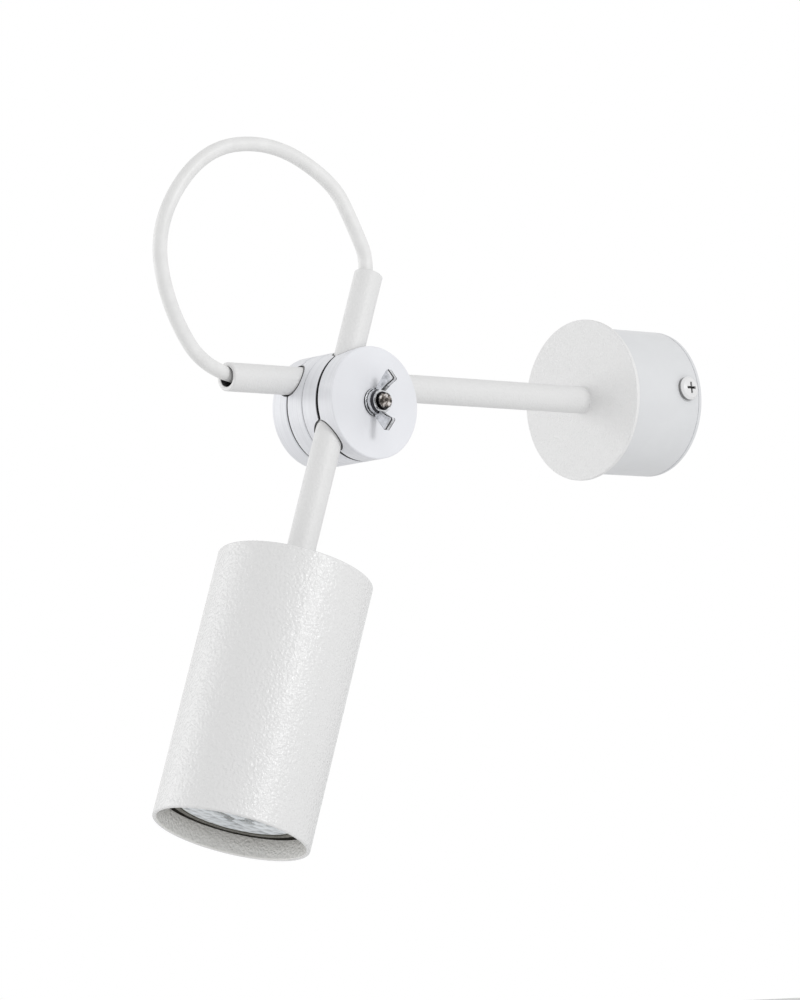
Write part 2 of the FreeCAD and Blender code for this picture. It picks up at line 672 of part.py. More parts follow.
def hanger():
    web = block("hanger_web", LEG_OUTSIDE, "hanger_width", "hanger_thickness")
    parts, cutters = [web], []
    cutters.append(rod("hanger_hole", "spigot_diameter + 2 * hole_clearance", 10, z=-5))
    foot_z = HANGER_HEIGHT + " - hanger_thickness"
    for side, sign in (("right", 1), ("left", -1)):
        x = "%d * (%s - hanger_thickness) / 2" % (sign, LEG_OUTSIDE)
        parts.append(block("leg_" + side, "hanger_thickness", "hanger_width", HANGER_HEIGHT, x))
        x = "%d * (%s - foot_length) / 2" % (sign, LEG_OUTSIDE)
        parts.append(block("foot_" + side, "foot_length", "hanger_width", "hanger_thickness", x,
                           0, foot_z))
        x = "%d * holder_screw_pitch / 2" % sign
        hole = "small_screw + 2 * hole_clearance"
        cutters.append(rod("foot_hole_" + side, hole, 10, x, 0, HANGER_HEIGHT + " - 5"))
    place = on_stem(size("stem_below + shade_top"))
    node(cut("holder_hanger", fuse("hanger_folded", *parts), *cutters), place)


def slot_sector(name, turn):
    """Room in the lamp holder for one pin to drop in and turn."""
    sweep = "2 * asin(pin_head / pin_pitch) + (twist + 8) * 1 deg"
    outside = rod(name + "_outer", "pin_pitch + pin_head + 2 * pin_room", "pin_length + 1")
    outside.setExpression("Angle", sheet_words(sweep))
    inside = rod(name + "_inner", "pin_pitch - pin_head - 2 * pin_room", "pin_length + 3", z=-1)
    sector = cut(name, outside, inside)
    sector.Placement = Placement(
        Vector(0, 0, size("holder_height - pin_length")),
        Rotation(Vector(0, 0, 1), turn - math.degrees(math.asin(size("pin_head / pin_pitch"))) - 4),
    )
    return sector


LEAD_HOLES = ((-4.5, 9.0), (4.5, 9.0))


def lamp_holder():
    puck = turned("holder_puck", [
        (0, 0), ("holder_diameter / 2 - 0.8", 0), ("holder_diameter / 2", 0.8),
        ("holder_diameter / 2", "holder_height - 0.8"),
        ("holder_diameter / 2 - 0.8", "holder_height"), (0, "holder_height"),
    ])
    cutters = [slot_sector("slot_a", 0), slot_sector("slot_b", 180)]
    screws = []
    for side, sign in (("right", 1), ("left", -1)):
        x = "%d * holder_screw_pitch / 2" % sign
        hole = "small_screw + 2 * fit_clearance"
        cutters.append(rod("holder_hole_" + side, hole, "holder_screw_length + 1", x, 0, -1))
        one = screw("holder_screw_" + side, "small_screw", "holder_screw_length", "small_head",
                    "small_head_height")
        one.Placement.Rotation = Rotation(Vector(1, 0, 0), 180)
        bind(one, Base_x=x, Base_z="-hanger_thickness")
        screws.append(one)
    for number, (x, y) in enumerate(LEAD_HOLES):
        cutters.append(rod("lead_hole%d" % number, "core_diameter + 0.6", 5, x, y, -1))
    place = on_stem(size(HOLDER_TOP))
    node(cut("lamp_holder", puck, *cutters), place)
    node(group("holder_screws", *screws), place)


def lamp_leads():
    """Two cores into the holder's back, and the earth core down to the hanger's foot."""
    thick, leads = size("core_diameter"), []
    start = size("stem_below + spigot_length + grip_length + core_run") + 0.1
    back = size(HOLDER_TOP)
    ends = [(*LEAD_HOLES[0], back + 2.5), (*LEAD_HOLES[1], back + 2.5),
            (9.5, -5.0, back - size("hanger_thickness") - 0.05)]
    for (x, y), (to_x, to_y, to_z) in zip(LAMP_CORE_STARTS, ends):
        points = [(x, y, start), (x, y, start + 2.2 * thick),
                  (to_x, to_y, to_z - 4.2 * thick), (to_x, to_y, to_z)]
        leads.append(drawn_tube(points, thick)[0])
    node(stored("lamp_leads", *leads), on_stem(0))


def lamp():
    foot, rim = "lamp_base / 2", "lamp_diameter / 2"
    straight = "lamp_length - lamp_rim"
    seat = "lens_diameter / 2 + hole_clearance"
    body = turned("lamp_body", [
        (0, 0), (foot, 0), (foot, "lamp_length * 0.22"),
        (foot + " + 1.5", "lamp_length * 0.27"), ("lamp_diameter * 0.38", "lamp_length * 0.5"),
        ("lamp_diameter * 0.455", "lamp_length * 0.73"), (rim, straight), (rim, "lamp_length"),
        (seat, "lamp_length"), (seat, "lamp_length - lens_thickness - 0.2"),
        (0, "lamp_length - lens_thickness - 0.2"),
    ])
    place = on_stem(size(LAMP_START))
    node(body, place)
    lens = turned("lamp_lens", [
        (0, 0), ("lens_diameter / 2", 0), ("lens_diameter / 2", "lens_thickness - 0.3"),
        ("lens_diameter / 2 - 0.3", "lens_thickness"), (0, "lens_thickness"),
    ])
    lens_place = size(LAMP_START + " + lamp_length - lens_thickness - 0.2")
    node(lens, on_stem(lens_place))
    pins = []
    for side, sign in (("right", 1), ("left", -1)):
        x = "%d * pin_pitch / 2" % sign
        shank = rod("pin_shank_" + side, "pin_shank", "pin_length - 3", x, 0, "3 - pin_length")
        head = rod("pin_head_" + side, "pin_head", 3, x, 0, "-pin_length")
        pins.append(fuse("pin_" + side, shank, head))
    node(group("lamp_pins", *pins), place)


# ---------------------------------------------------------------- loose cable

# Chosen by hand: out of the arm's mouth, up and over the clamp, down into the stem's mouth.
LOOP_ROUTE = [
    (-0.4, -205, -0.1), (-0.6, -230.2, -1.1), (0.8, -250.5, 24.4), (5.5, -258.5, 54.5),
    (9.5, -237.6, 84.3), (13, -206.8, 89.2), (14.5, -193.35, 82.3),
]
TAIL_ROUTE = [
    (14.5, -193.35, 82.3), (16, -179.9, 75.4), (17.5, -171.9, 59.5), (17.6, -163.8, 42.6),
    (17.6, -170.7, 25.2),
]


def loose_cable():
    thick = size("cable_diameter")
    for name, route in (("cable_loop", LOOP_ROUTE), ("cable_tail", TAIL_ROUTE)):
        solid, length, radii = drawn_tube(route, thick)
        print(name, "length %.1f, radii" % length, [round(r, 1) for r in radii])
        node(stored(name, solid), Placement())


# ---------------------------------------------------------------- build and check

wall_plate()
terminal_block()
canopy()
arm()
arm_leads()
clamp()
pivot_bolt()
wing_nut()
stem()
shade()
hanger()
lamp_holder()
lamp_leads()
lamp()
loose_cable()
doc.recompute()

for thing in doc.Objects:
    bad = [state for state in thing.State if state in ("Invalid", "Error")]
    assert not bad, "%s is %s" % (thing.Name, bad)
os.makedirs("parts", exist_ok=True)
for piece in NODES:
    shape = piece.Shape
    assert not shape.isNull() and shape.isValid() and shape.Solids, piece.Label
    shape.exportStep("parts/%s.step" % piece.Label)
    print("%-18s %2d solids %10.1f mm3" % (piece.Label, len(shape.Solids), shape.Volume))
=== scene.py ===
import math

import bpy
from mathutils import Matrix, Vector


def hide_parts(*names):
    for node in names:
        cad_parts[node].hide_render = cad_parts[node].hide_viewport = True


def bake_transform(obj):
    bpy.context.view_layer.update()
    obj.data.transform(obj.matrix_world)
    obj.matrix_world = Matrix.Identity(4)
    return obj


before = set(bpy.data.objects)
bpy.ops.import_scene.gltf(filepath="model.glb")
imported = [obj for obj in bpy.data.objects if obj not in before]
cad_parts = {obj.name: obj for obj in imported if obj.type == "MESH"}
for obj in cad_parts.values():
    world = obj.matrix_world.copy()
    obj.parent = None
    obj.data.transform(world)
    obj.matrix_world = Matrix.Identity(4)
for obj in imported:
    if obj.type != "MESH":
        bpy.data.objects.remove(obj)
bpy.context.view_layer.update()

# Lengths are in metres. The arm's axis is y, and the bolt runs along x.
BOLT = Vector((0.0, -0.1725, -0.01065))
HEAD_PLANE = 0.0176  # from the arm's axis, along the bolt, to the stem's
STEM_OFF_BOLT = 0.0108
TILT = math.radians(20.5)  # how far the stem's foot swings out from plumb
STEM_SIDE = Vector((0.0, -math.cos(TILT), math.sin(TILT)))
STEM_ORIGIN = BOLT + Vector((HEAD_PLANE, 0.0, 0.0)) + STEM_SIDE * STEM_OFF_BOLT

# Frames that a material measures in: z runs down the stem, or x out along the bolt.
STEM_FRAME = {"location": STEM_ORIGIN, "rotation": (math.pi - TILT, 0.0, 0.0)}
BOLT_FRAME = {"location": BOLT}

# Scales that leave only what lies across an axis.
ACROSS_ARM, ACROSS_STEM, ACROSS_BOLT = (1, 0, 1), (1, 1, 0), (0, 1, 1)

# painted shade for slits, grooves, bores and creases
PAINTED_SHADE = (0.03, 0.03, 0.032)
DISC_WHITE = (0.81, 0.82, 0.855)
TUBE_WHITE = (0.77, 0.77, 0.77)
CUP_WHITE = (0.725, 0.735, 0.75)
PLATE_WHITE = (0.82, 0.82, 0.82)
SHADE_WHITE = (0.785, 0.785, 0.785)
SCREW_WHITE = (0.78, 0.78, 0.785)
CABLE_WHITE = (0.80, 0.80, 0.797)


# ---------------------------------------------------------------- materials


class Shader:
    """A material's nodes, with short calls to add and join them."""

    def __init__(self, name, color, roughness, **sockets):
        self.material = bpy.data.materials.new(name)
        self.material.use_nodes = True
        self.tree = self.material.node_tree
        self.surface = self.tree.nodes["Principled BSDF"]
        self.surface.inputs["Base Color"].default_value = (*color, 1.0)
        self.surface.inputs["Roughness"].default_value = roughness
        for socket, value in sockets.items():
            self.surface.inputs[socket.replace("_", " ")].default_value = value
        self.height = None

    def node(self, kind, **settings):
        """A new node; each setting is a property or an input of it."""
        made = self.tree.nodes.new("ShaderNode" + kind)
        for name, value in settings.items():
            if hasattr(made, name):
                setattr(made, name, value)
            else:
                made.inputs[name].default_value = value
        return made

    def join(self, out, into):
        self.tree.links.new(out, into)

    def place(self, scale=(1, 1, 1), location=(0, 0, 0), rotation=(0, 0, 0)):
        """Coordinates in a piece's own frame: unturned first, then scaled."""
        coordinates = self.node("TexCoord").outputs["Object"]
        if any(location) or any(rotation):
            own = self.node("Mapping", vector_type="TEXTURE")
            own.inputs["Location"].default_value = location
            own.inputs["Rotation"].default_value = rotation
            self.join(coordinates, own.inputs["Vector"])
            coordinates = own.outputs["Vector"]
        scaled = self.node("Mapping", vector_type="POINT")
        scaled.inputs["Scale"].default_value = scale
        self.join(coordinates, scaled.inputs["Vector"])
        return scaled.outputs["Vector"]

    def noise(self, scale, detail=3.0, rough=0.55, vector=None):
        made = self.node("TexNoise", Scale=scale, Detail=detail, Roughness=rough)
        self.join(vector or self.place(), made.inputs["Vector"])
        return made.outputs["Fac"]

    def math(self, what, a, b):
        made = self.node("Math", operation=what)
        for socket, value in zip(made.inputs, (a, b)):
            if isinstance(value, (int, float)):
                socket.default_value = value
            else:
                self.join(value, socket)
        return made.outputs["Value"]

    def tint(self, value, *stops):
        """Colours the surface by a value between 0 and 1; a stop is (value, colour)."""
        made = self.node("ValToRGB")
        line = made.color_ramp.elements
        while len(line) < len(stops):
            line.new(0.5)
        for element, (at, color) in zip(line, stops):
            element.position = at
            element.color = (*color, 1.0)
        self.join(value, made.inputs["Fac"])
        self.join(made.outputs["Color"], self.surface.inputs["Base Color"])

    def parts(self, **own):
        """The three coordinates in a frame."""
        split = self.node("SeparateXYZ")
        self.join(self.place(**own), split.inputs["Vector"])
        return split.outputs["X"], split.outputs["Y"], split.outputs["Z"]

    def off_axis(self, scale, **own):
        """Distance from an axis of a frame, where the scale is 0 along that axis."""
        made = self.node("VectorMath", operation="LENGTH")
        self.join(self.place(scale, **own), made.inputs[0])
        return made.outputs["Value"]

    def size_of(self, value):
        return self.math("ABSOLUTE", value, 0.0)

    def below(self, value, limit):
        """A mask: 1 where a value is under the limit, else 0."""
        return self.math("LESS_THAN", value, limit)

    def above(self, value, limit):
        return self.math("GREATER_THAN", value, limit)

    def near(self, value, middle, reach):
        """A mask: 1 where a value is within reach of the middle, else 0."""
        return self.below(self.size_of(self.math("SUBTRACT", value, middle)), reach)

    def both(self, a, b):
        """The part that two masks share."""
        return self.math("MULTIPLY", a, b)

    def cover(self, mask, color):
        """Paints another colour where the mask is 1."""
        made = self.node("MixRGB")
        made.inputs["Color2"].default_value = (*color, 1.0)
        self.join(mask, made.inputs["Fac"])
        socket = self.surface.inputs["Base Color"]
        if socket.is_linked:
            self.join(socket.links[0].from_socket, made.inputs["Color1"])
        else:
            made.inputs["Color1"].default_value = socket.default_value
        self.join(made.outputs["Color"], socket)

    def rough(self, value, low, high):
        spread = self.node("MapRange")
        spread.inputs["To Min"].default_value = low
        spread.inputs["To Max"].default_value = high
        self.join(value, spread.inputs["Value"])
        self.join(spread.outputs["Result"], self.surface.inputs["Roughness"])

    def bump(self, value, distance):
        """Raises the surface by that many metres, over what is there already."""
        made = self.node("Bump", Strength=1.0, Distance=distance)
        self.join(value, made.inputs["Height"])
        if self.height:
            self.join(self.height, made.inputs["Normal"])
        self.height = made.outputs["Normal"]
        self.join(self.height, self.surface.inputs["Normal"])


def shade_of(color, factor):
    return tuple(channel * factor for channel in color)


# In the masks below, a limit lies a little past the surface that it takes in, and one whose
# name ends in _to is where a colour stops part way.


def satin_white(name, color, lathe=None, lines=0.00002, sheen_streak=0.0):
    """Smooth paint with a faint cloud in it; lathe gives the scale of its turning lines, which
    can be tinted, partly as real turning marks and partly as painted sheen.
    """
    paint = Shader(name, color, roughness=0.36, Coat_Weight=0.12, Coat_Roughness=0.2)
    cloud = paint.noise(90.0)
    dark, bright = shade_of(color, 0.98), shade_of(color, 1.01)
    paint.tint(cloud, (0.3, dark), (0.7, bright))
    paint.rough(paint.noise(240.0), 0.3, 0.44)
    paint.bump(paint.noise(1500.0, detail=2.0), 0.000012)
    if lathe:
        turned = paint.noise(1.0, detail=2.0, rough=0.6, vector=paint.place(lathe))
        paint.bump(turned, lines)
        if sheen_streak:
            # painted sheen along the turning lines, over their real marks
            paint.tint(turned, (0.35, shade_of(color, 1.0 - sheen_streak)), (0.65, bright))
    return paint


def grain_white(name, color, depth, scale, low, high, gloss=0.0):
    """Powder coat dried to a fine wrinkle; low and high are the ends of its roughness."""
    coat = Shader(name, color, roughness=0.42, Coat_Weight=gloss, Coat_Roughness=0.3)
    crease = coat.noise(scale, detail=2.0, rough=0.45)
    coat.tint(crease, (0.3, shade_of(color, 0.985)), (0.6, color))
    coat.rough(coat.noise(scale * 0.5), low, high)
    coat.bump(crease, depth)
    return coat


def disc_white():
    """Bluish white discs, turned at the rim, with painted shade in the slits between them and in
    the grooves round the tubes.
    """
    paint = satin_white("disc_paint", DISC_WHITE, lathe=(1300.0, 22.0, 22.0), lines=0.00009,
                        sheen_streak=0.075)
    across = paint.parts()[0]
    head_slit, arm_slit, turning_gap = 0.00068, 0.00032, 0.00014  # half their widths
    groove = 0.0062
    # painted shade in the slits between the discs, lighter in the narrow gap between the pairs,
    # and in the grooves
    paint.cover(paint.near(across, HEAD_PLANE, head_slit), PAINTED_SHADE)
    paint.cover(paint.near(across, 0.0, arm_slit), (0.1, 0.1, 0.105))
    paint.cover(paint.near(across, HEAD_PLANE / 2, turning_gap), (0.25, 0.25, 0.26))
    paint.cover(paint.below(paint.off_axis(ACROSS_ARM), groove), PAINTED_SHADE)
    paint.cover(paint.below(paint.off_axis(ACROSS_STEM, **STEM_FRAME), groove), PAINTED_SHADE)
    return paint.material


def tube_white(name, scale, **own):
    """A painted tube with painted shade inside its bore."""
    paint = grain_white(name, TUBE_WHITE, depth=0.00022, scale=1100.0, low=0.4, high=0.55)
    bore = 0.00385
    # painted shade inside the bore
    paint.cover(paint.below(paint.off_axis(scale, **own), bore), PAINTED_SHADE)
    return paint.material


def shade_white():
    """Wrinkle paint, warm grey within, with painted shade on the inner wall deep in the shade,
    round the lamp.
    """
    coat = grain_white("shade_paint", SHADE_WHITE, depth=0.00048, scale=900.0, low=0.16,
                       high=0.24, gloss=0.18)
    inner_wall, outer_top, dark_to = 0.02835, 0.0726, 0.1690
    depth = coat.parts(**STEM_FRAME)[2]
    out = coat.off_axis(ACROSS_STEM, **STEM_FRAME)
    inside = coat.both(coat.below(out, inner_wall), coat.above(depth, outer_top))
    coat.cover(inside, (0.87, 0.86, 0.83))
    # painted shade deep inside, round the lamp
    coat.cover(coat.both(inside, coat.below(depth, dark_to)), (0.05, 0.047, 0.04))
    return coat.material


def screw_white():
    """Painted screws, with painted shade in the cross recess and where the head meets the cup.
    """
    paint = satin_white("screw_paint", SCREW_WHITE)
    on_cup = {"rotation": (0.0, -math.radians(4.6), 0.0)}
    on_screw = {"location": (0.0, -0.008, 0.0), **on_cup}
    recess_dark_to, recess_reach, foot_dark_to = 0.0317, 0.0027, 0.0307
    along = paint.size_of(paint.parts(**on_cup)[0])
    close = paint.below(paint.off_axis(ACROSS_BOLT, **on_screw), recess_reach)
    # painted shade in the cross recess and round the head's foot on the cup
    paint.cover(paint.both(paint.below(along, recess_dark_to), close), (0.06, 0.06, 0.06))
    paint.cover(paint.below(along, foot_dark_to), (0.2, 0.2, 0.2))
    return paint.material


def metal(name, color, roughness, brushed=(400.0, 400.0, 400.0), depth=0.00001):
    """Bare metal with brushed or tumbled marks and uneven gloss."""
    steel = Shader(name, color, roughness, Metallic=1.0)
    marks = steel.noise(1.0, detail=3.0, rough=0.6, vector=steel.place(brushed))
    steel.tint(marks, (0.3, shade_of(color, 0.85)), (0.75, shade_of(color, 1.1)))
    steel.rough(steel.noise(300.0), roughness * 0.75, min(1.0, roughness * 1.35))
    steel.bump(marks, depth)
    return steel.material


def nut_zinc():
    """Wing nut and washer, plated castings: bright, mottled partly by casting and partly as
    painted reflection; painted shade in creases and painted dark reflection along edges.
    """
    zinc = Shader("nut_zinc", (0.6, 0.6, 0.6), roughness=0.2, Metallic=1.0)
    # the mottling is partly the casting's own and partly painted dark and bright reflection
    mottling = zinc.noise(420.0, detail=3.0, rough=0.6)
    zinc.tint(mottling, (0.32, (0.40, 0.41, 0.42)), (0.5, (0.66, 0.67, 0.69)),
              (0.68, (0.84, 0.85, 0.87)))
    zinc.rough(zinc.noise(700.0), 0.16, 0.34)
    zinc.bump(zinc.noise(800.0, detail=3.0, rough=0.6), 0.00025)
    along, across, _ = zinc.parts(**BOLT_FRAME)
    out = zinc.off_axis(ACROSS_BOLT, **BOLT_FRAME)

    # painted shade along the line where the nut's foot meets the washer, and painted shadow on
    # the half of the washer's rim by the disc
    washer_top, foot_radius, line = 0.0274, 0.0049, 0.0002
    joint = zinc.both(zinc.near(along, washer_top, line), zinc.near(out, foot_radius, line))
    zinc.cover(joint, PAINTED_SHADE)
    washer_rim, rim_dark_to = 0.00535, 0.02705
    rim = zinc.both(zinc.above(out, washer_rim), zinc.below(along, rim_dark_to))
    zinc.cover(rim, PAINTED_SHADE)

    # painted shadow on the hub's side under its top, on the left, and painted shade in its bore
    hub_side = zinc.both(zinc.near(out, 0.0046, 0.00045), zinc.near(along, 0.02985, 0.0008))
    left_of, bore = -0.0012, 0.0036
    zinc.cover(zinc.both(hub_side, zinc.below(across, left_of)), (0.05, 0.05, 0.055))
    zinc.cover(zinc.below(out, bore), PAINTED_SHADE)

    # painted dark reflection on the rounded edges of the wings, which lie a little off plumb
    wing_turn, rounding, hub_reach = math.radians(6.5), 0.0008, 0.0052
    _, thick, long = zinc.parts(rotation=(-wing_turn, 0.0, 0.0), **BOLT_FRAME)
    edges = zinc.near(zinc.size_of(thick), rounding, 0.00025)
    zinc.cover(zinc.both(edges, zinc.above(zinc.size_of(long), hub_reach)), (0.06, 0.06, 0.065))
    return zinc.material


def bolt_dark():
    """Plated bolt; painted shadow darkens the end past the nut and a ring on the right of its
    face, which is mottled from dark to bright, partly as hammered metal and partly as painted
    highlight.
    """
    steel = Shader("bolt_dark", (0.1, 0.1, 0.1), roughness=0.24, Metallic=1.0)
    marks = steel.noise(620.0, detail=3.0, rough=0.65)
    steel.tint(marks, (0.4, (0.05, 0.045, 0.04)), (0.52, (0.28, 0.25, 0.23)),
               (0.62, (0.75, 0.72, 0.70)))
    steel.bump(marks, 0.0004)
    black, plate = (0.02, 0.02, 0.02), (0.55, 0.555, 0.57)
    face_edge, right_of, black_to, plate_to = 0.00245, -0.0012, 0.03215, 0.0304
    out = steel.off_axis(ACROSS_BOLT, **BOLT_FRAME)
    along, across, _ = steel.parts(**BOLT_FRAME)
    # painted shadow: a dark ring round the end face on its right, and dark round the end past
    # the nut
    steel.cover(steel.both(steel.above(out, face_edge), steel.above(across, right_of)), black)
    steel.cover(steel.below(along, black_to), black)
    steel.cover(steel.below(along, plate_to), plate)
    return steel.material


def plastic(name, color, roughness, scale=900.0, depth=0.00001):
    """Moulded or fired: a faint speck in colour, gloss and surface."""
    moulded = Shader(name, color, roughness)
    speck = moulded.noise(scale)
    moulded.tint(speck, (0.3, shade_of(color, 0.96)), (0.7, shade_of(color, 1.02)))
    moulded.rough(speck, roughness * 0.85, min(1.0, roughness * 1.2))
    moulded.bump(speck, depth)
    return moulded.material


disc_paint = disc_white()
arm_paint = tube_white("arm_paint", ACROSS_ARM)
stem_paint = tube_white("stem_paint", ACROSS_STEM, **STEM_FRAME)
cup_paint = satin_white("cup_paint", CUP_WHITE, lathe=(60.0, 5000.0, 60.0)).material
plate_paint = grain_white("plate_paint", PLATE_WHITE, depth=0.0004, scale=1100.0, low=0.5,
                          high=0.65).material
zinc = metal("zinc", (0.62, 0.63, 0.65), roughness=0.22, brushed=(700.0, 700.0, 700.0),
             depth=0.00003)
strap_steel = metal("strap_steel", (0.55, 0.56, 0.57), roughness=0.35,
                    brushed=(60.0, 2000.0, 60.0))
plated = nut_zinc()
block_plastic = plastic("block_plastic", (0.80, 0.80, 0.78), roughness=0.35)
glaze = plastic("glaze", (0.82, 0.81, 0.77), roughness=0.2, scale=250.0, depth=0.00002)


def core_colors():
    """Brown, earth and blue cores, told apart by where they lie."""
    sleeve = Shader("core_sleeve", (0.2, 0.1, 0.05), roughness=0.4)
    across = sleeve.parts(scale=(50.0, 50.0, 50.0))[0]
    side = sleeve.math("ADD", across, 0.5)
    sleeve.tint(side, (0.0, (0.22, 0.09, 0.04)), (0.44, (0.35, 0.42, 0.06)),
                (0.56, (0.05, 0.14, 0.42)))
    sleeve.bump(sleeve.noise(1200.0), 0.00001)
    return sleeve.material


def cable_sheath():
    """Pale grey PVC, faintly ribbed by the cores that lie twisted under it."""
    sheath = Shader("cable_sheath", CABLE_WHITE, roughness=0.42)
    cloud = sheath.noise(160.0, detail=4.0)
    sheath.tint(cloud, (0.3, shade_of(CABLE_WHITE, 0.955)), (0.7, shade_of(CABLE_WHITE, 1.03)))
    sheath.rough(sheath.noise(600.0), 0.36, 0.52)
    sheath.bump(sheath.noise(420.0, detail=2.0), 0.00008)
    sheath.bump(sheath.noise(2600.0, detail=2.0), 0.00001)
    return sheath.material


def reflector_body():
    """Mirror-coated lamp body; its rim round the lens is dull."""
    glass = Shader("reflector_body", (0.42, 0.44, 0.45), roughness=0.2, Metallic=0.6)
    marks = glass.noise(220.0)
    glass.tint(marks, (0.3, (0.36, 0.38, 0.39)), (0.7, (0.5, 0.52, 0.53)))
    glass.rough(marks, 0.18, 0.3)
    rim_from = 0.1664
    rim = glass.above(glass.parts(**STEM_FRAME)[2], rim_from)
    glass.cover(rim, (0.15, 0.142, 0.12))
    return glass.material


def lens_glass():
    """Front glass over the reflector: facets that grow darker towards the middle."""
    lens = Shader("lens_glass", (0.8, 0.84, 0.87), roughness=0.12, Coat_Weight=0.8)
    facets = lens.node("TexVoronoi", Scale=1.0, Randomness=0.6)
    lens.join(lens.place((260.0, 260.0, 20.0), **STEM_FRAME), facets.inputs["Vector"])
    spread = lens.node("SeparateColor")
    lens.join(facets.outputs["Color"], spread.inputs["Color"])
    outward = lens.off_axis((30.0, 30.0, 0.0), **STEM_FRAME)
    tone = lens.math("ADD", lens.math("MULTIPLY", spread.outputs["Red"], 0.55), outward)
    lens.tint(tone, (0.0, (0.10, 0.11, 0.12)), (0.38, (0.24, 0.27, 0.29)),
              (0.52, (0.72, 0.77, 0.82)), (0.85, (0.90, 0.95, 1.0)))
    clear_to = 0.0218
    edge = lens.above(lens.off_axis(ACROSS_STEM, **STEM_FRAME), clear_to)
    lens.cover(edge, (0.42, 0.44, 0.42))
    lens.bump(facets.outputs["Distance"], 0.0005)
    lens.rough(lens.noise(500.0), 0.08, 0.2)
    return lens.material


core_paint = core_colors()
sheath = cable_sheath()

FINISH = {
    "wall_plate": strap_steel,
    "canopy_cup": cup_paint,
    "front_plate": plate_paint,
    "cup_screws": screw_white(),
    "arm_tube": arm_paint,
    "stem_tube": stem_paint,
    "arm_lock_washer": zinc,
    "arm_lock_nut": zinc,
    "stem_lock_washer": zinc,
    "stem_lock_nut": zinc,
    "terminal_block": block_plastic,
    "arm_cable_grip": block_plastic,
    "stem_cable_grip": block_plastic,
    "terminal_screws": zinc,
    "block_screw": zinc,
    "earth_screw": zinc,
    "holder_screws": zinc,
    "nut_washer": plated,
    "wing_nut": plated,
    "pivot_bolt": bolt_dark(),
    "arm_leads": core_paint,
    "lamp_leads": core_paint,
    "arm_cable": sheath,
    "stem_cable": sheath,
    "arm_clamp_rear": disc_paint,
    "arm_clamp_front": disc_paint,
    "head_clamp_rear": disc_paint,
    "head_clamp_front": disc_paint,
    "shade": shade_white(),
    "holder_hanger": strap_steel,
    "lamp_holder": glaze,
    "lamp_body": reflector_body(),
    "lamp_lens": lens_glass(),
    "lamp_pins": zinc,
}


def dress(piece, material):
    piece.data.materials.clear()
    piece.data.materials.append(material)


for node, material in FINISH.items():
    dress(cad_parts[node], material)


# ---------------------------------------------------------------- loose cable

CABLE = 0.0055
CABLE_STEP = 0.0012
CABLE_SIDES = 32

# One route, cut at the middle of a straight run, where the second node starts.
LOOP_ROUTE = [
    (-0.0004, -0.205, -0.0001), (-0.0006, -0.2302, -0.0011), (0.0008, -0.2505, 0.0244),
    (0.0055, -0.2585, 0.0545), (0.0095, -0.2376, 0.0843), (0.013, -0.2068, 0.0892),
    (0.0145, -0.19335, 0.0823),
]
TAIL_ROUTE = [
    (0.0145, -0.19335, 0.0823), (0.016, -0.1799, 0.0754), (0.0175, -0.1719, 0.0595),
    (0.0176, -0.1638, 0.0426), (0.0176, -0.1707, 0.0252),
]


def spline_points(name, route):
    """Points along the smooth line that the route's points pull into shape."""
    curve = bpy.data.curves.new(name + "_line", "CURVE")
    curve.dimensions = "3D"
    curve.resolution_u = 24
    line = curve.splines.new("NURBS")
    line.points.add(len(route) - 1)
    for point, place in zip(line.points, route):
        point.co = (*place, 1.0)
    line.order_u = 3
    line.use_endpoint_u = True
    holder = bpy.data.objects.new(name + "_line", curve)
    traced = bpy.data.meshes.new_from_object(holder)
    points = [v.co.copy() for v in traced.vertices]
    bpy.data.objects.remove(holder)
    return even_steps(points, CABLE_STEP)


def lengths_along(points):
    """How far along the line each of its points lies."""
    far = [0.0]
    for a, b in zip(points, points[1:]):
        far.append(far[-1] + (b - a).length)
    return far


def even_steps(points, step):
    """The same line with its points about one step apart."""
    far = lengths_along(points)
    count = max(2, round(far[-1] / step))
    spaced, i = [], 0
    for k in range(count + 1):
        want = far[-1] * k / count
        while i < len(far) - 2 and far[i + 1] < want:
            i += 1
        share = (want - far[i]) / max(1e-9, far[i + 1] - far[i])
        spaced.append(points[i].lerp(points[i + 1], min(1.0, max(0.0, share))))
    return spaced


def cable_mesh(name, points, route, radius):
    """A closed tube round the points, its rings carried along without a twist."""
    side = Vector((1.0, 0.0, 0.0))
    verts, faces = [], []
    last = len(points) - 1
    first_way = Vector(route[1]) - Vector(route[0])
    last_way = Vector(route[-1]) - Vector(route[-2])
    for i, point in enumerate(points):
        ahead = points[min(last, i + 1)] - points[max(0, i - 1)]
        ahead = (first_way if i == 0 else last_way if i == last else ahead).normalized()
        side = (side - ahead * side.dot(ahead)).normalized()
        up = ahead.cross(side)
        for k in range(CABLE_SIDES):
            turn = 2 * math.pi * k / CABLE_SIDES
            verts.append(point + (side * math.cos(turn) + up * math.sin(turn)) * radius)
    for i in range(last):
        for k in range(CABLE_SIDES):
            a, b = i * CABLE_SIDES + k, i * CABLE_SIDES + (k + 1) % CABLE_SIDES
            faces.append((a, b, b + CABLE_SIDES, a + CABLE_SIDES))
    # the end caps have points of their own, so that they don't bend the shading
    for ring, backwards in ((0, True), (last, False)):
        cap = range(len(verts), len(verts) + CABLE_SIDES)
        verts += verts[ring * CABLE_SIDES:(ring + 1) * CABLE_SIDES]
        faces.append(tuple(reversed(cap)) if backwards else tuple(cap))
    mesh = bpy.data.meshes.new(name)
    mesh.from_pydata([tuple(v) for v in verts], [], faces)
    mesh.polygons.foreach_set("use_smooth", [True] * (len(faces) - 2) + [False] * 2)
    piece = bpy.data.objects.new(name, mesh)
    bpy.context.scene.collection.objects.link(piece)
    return piece


